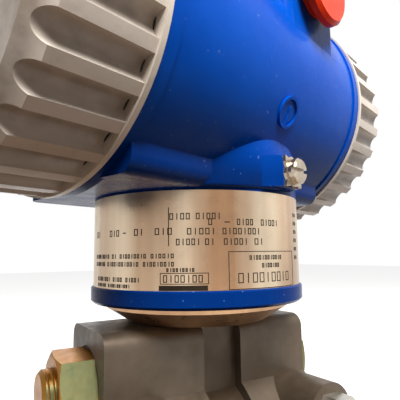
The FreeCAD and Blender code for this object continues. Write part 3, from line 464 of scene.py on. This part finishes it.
def ring_mark():
    """Small raised wedge inside the foundry ring."""
    tilt = MARK_TILT
    out = NEAR * math.cos(tilt) - UP * math.sin(tilt)
    rise = NEAR * math.sin(tilt) + UP * math.cos(tilt)
    along = BARREL_AXIS
    foot = Vector((0, 0, BARREL_CENTRE.z)) - along * MARK_SHIFT + out * MARK_RADIUS
    shape = bmesh.new()
    half, base, peak = 0.45 * MM, 1.1 * MM, 0.6 * MM
    sections = [[foot + rise * up - along * wide, foot + rise * up + along * wide,
                 foot + rise * up + out * lift]
                for up, wide, lift in ((-3.0 * MM, half, peak), (0.6 * MM, half, peak),
                                       (2.4 * MM, base, peak), (2.6 * MM, half * 0.4, peak * 0.6))]
    sweep(shape, sections)
    dress("foundry_mark", shape, "housing_paint", "topworks")


FAIRING_RADIUS = 33.2 * MM
FAIRING_SHIFT = 2.5 * MM                 # from the neck towards the electronics cover
FAIRING_GAP = 0.7 * MM                   # above the data plate
FAIRING_TOP = 12 * MM                    # below the barrel's centre, inside the barrel
FAIRING_EDGE = 0.8 * MM
FAIRING_SIDES = 120


def neck_fairing():
    """The neck's cast fairing, fuller towards the electronics side."""
    centre = BARREL_AXIS * -FAIRING_SHIFT
    low, high = PLATE_HIGH + FAIRING_GAP, BARREL_CENTRE.z - FAIRING_TOP
    angles = [2 * math.pi * side / FAIRING_SIDES for side in range(FAIRING_SIDES)]
    shape = bmesh.new()
    sections = []
    for level, inset in ((low, FAIRING_EDGE), (low + FAIRING_EDGE, 0), (high, 0)):
        sections.append([centre + UP * level + (NEAR * math.cos(angle) + BARREL_AXIS * math.sin(angle))
                         * (FAIRING_RADIUS - inset) for angle in angles])
    sweep(shape, sections)
    for face in shape.faces:
        face.smooth = len(face.verts) == 4
    dress("neck_fairing", shape, "housing_paint", "topworks")


print_plate()
ring_mark()
neck_fairing()

# ---------------------------------------------------------------- stage, light and camera

CAMERA_PLACE = Vector((-72.2, -120.4, 111.0)) * MM
CAMERA_HEADING = math.radians(31.54)     # from +Y towards +X
CAMERA_PITCH = math.radians(7.4)
CAMERA_ROLL = math.radians(-0.74)
CAMERA_LENS, SENSOR_WIDTH = 37.68, 36    # mm
CAMERA_NEAR = 5 * MM
WORLD_LIGHT = 0.17                       # on surfaces; what rays see directly is 1
FLOOR_HALF = 3.0
FLOOR_GLOW = 0.8
LAMP_TARGET = (0, 0, 0.14)


def set_camera():
    """Stands where the photograph was taken from."""
    data = bpy.data.cameras.new("camera")
    data.sensor_width = SENSOR_WIDTH
    data.lens = CAMERA_LENS
    data.clip_start = CAMERA_NEAR
    camera = bpy.data.objects.new("camera", data)
    turn = (Matrix.Rotation(-CAMERA_HEADING, 4, "Z")
            @ Matrix.Rotation(math.pi / 2 + CAMERA_PITCH, 4, "X")
            @ Matrix.Rotation(CAMERA_ROLL, 4, "Z"))
    camera.matrix_world = Matrix.Translation(CAMERA_PLACE) @ turn
    bpy.context.scene.collection.objects.link(camera)
    bpy.context.scene.camera = camera


def seen_directly(finish):
    """1 for camera, mirror and see-through rays, and 0 for the light that falls on surfaces."""
    path = finish.node("ShaderNodeLightPath")
    both = finish.math("ADD", path.outputs["Is Camera Ray"], path.outputs["Is Glossy Ray"])
    return finish.math("ADD", both, path.outputs["Is Transmission Ray"], clamp=True)


def lay_floor():
    """Pale floor that bounces only a little light up at the object."""
    mesh = bpy.data.meshes.new("floor")
    shape = bmesh.new()
    bmesh.ops.create_grid(shape, x_segments=1, y_segments=1, size=FLOOR_HALF)
    shape.to_mesh(mesh)
    shape.free()
    floor = bpy.data.objects.new("floor", mesh)
    bpy.context.scene.collection.objects.link(floor)
    finish = Finish("pale_floor", Roughness=0.9, Specular_IOR_Level=0.0, Emission_Color=(1, 1, 1, 1))
    seen = seen_directly(finish)
    finish.colour(finish.mix(seen, srgb(96, 80, 68), (0.45, 0.45, 0.45, 1)))
    finish.feed(finish.shader.inputs["Emission Strength"], finish.math("MULTIPLY", seen, FLOOR_GLOW))
    mesh.materials.append(finish.material)


def light_world():
    """Soft room light: plain white to camera, mirror and see-through rays."""
    world = bpy.data.worlds.new("studio")
    bpy.context.scene.world = world
    world.use_nodes = True
    tree = world.node_tree
    background = tree.nodes["Background"]
    path = tree.nodes.new("ShaderNodeLightPath")
    seen = tree.nodes.new("ShaderNodeMath")
    seen.operation = "ADD"
    seen.use_clamp = True
    direct = tree.nodes.new("ShaderNodeMath")
    direct.operation = "ADD"
    tree.links.new(path.outputs["Is Camera Ray"], direct.inputs[0])
    tree.links.new(path.outputs["Is Glossy Ray"], direct.inputs[1])
    tree.links.new(direct.outputs[0], seen.inputs[0])
    tree.links.new(path.outputs["Is Transmission Ray"], seen.inputs[1])
    strength = tree.nodes.new("ShaderNodeMix")
    strength.inputs[2].default_value = WORLD_LIGHT
    strength.inputs[3].default_value = 1.0
    tree.links.new(seen.outputs[0], strength.inputs[0])
    tree.links.new(strength.outputs[0], background.inputs["Strength"])
    background.inputs["Color"].default_value = (1, 1, 1, 1)


def soft_lamp(name, place, width, power, colour=(1, 1, 1)):
    """Round area lamp that faces the object; metres and watts."""
    data = bpy.data.lights.new(name, "AREA")
    data.shape = "DISK"
    data.size = width
    data.energy = power
    data.color = colour
    lamp = bpy.data.objects.new(name, data)
    lamp.location = place
    lamp.rotation_euler = (Vector(LAMP_TARGET) - Vector(place)).to_track_quat("-Z", "Y").to_euler()
    bpy.context.scene.collection.objects.link(lamp)


set_camera()
lay_floor()
light_world()
soft_lamp("key", (-0.16, -0.66, 0.92), 0.5, 27.0, (1.0, 0.97, 0.93))
soft_lamp("fill", (0.90, -0.20, 0.60), 1.2, 2.0, (1.0, 0.98, 0.95))
soft_lamp("back", (0.3, 0.7, 0.6), 0.8, 3.0)

bpy.context.scene.view_settings.view_transform = "Standard"
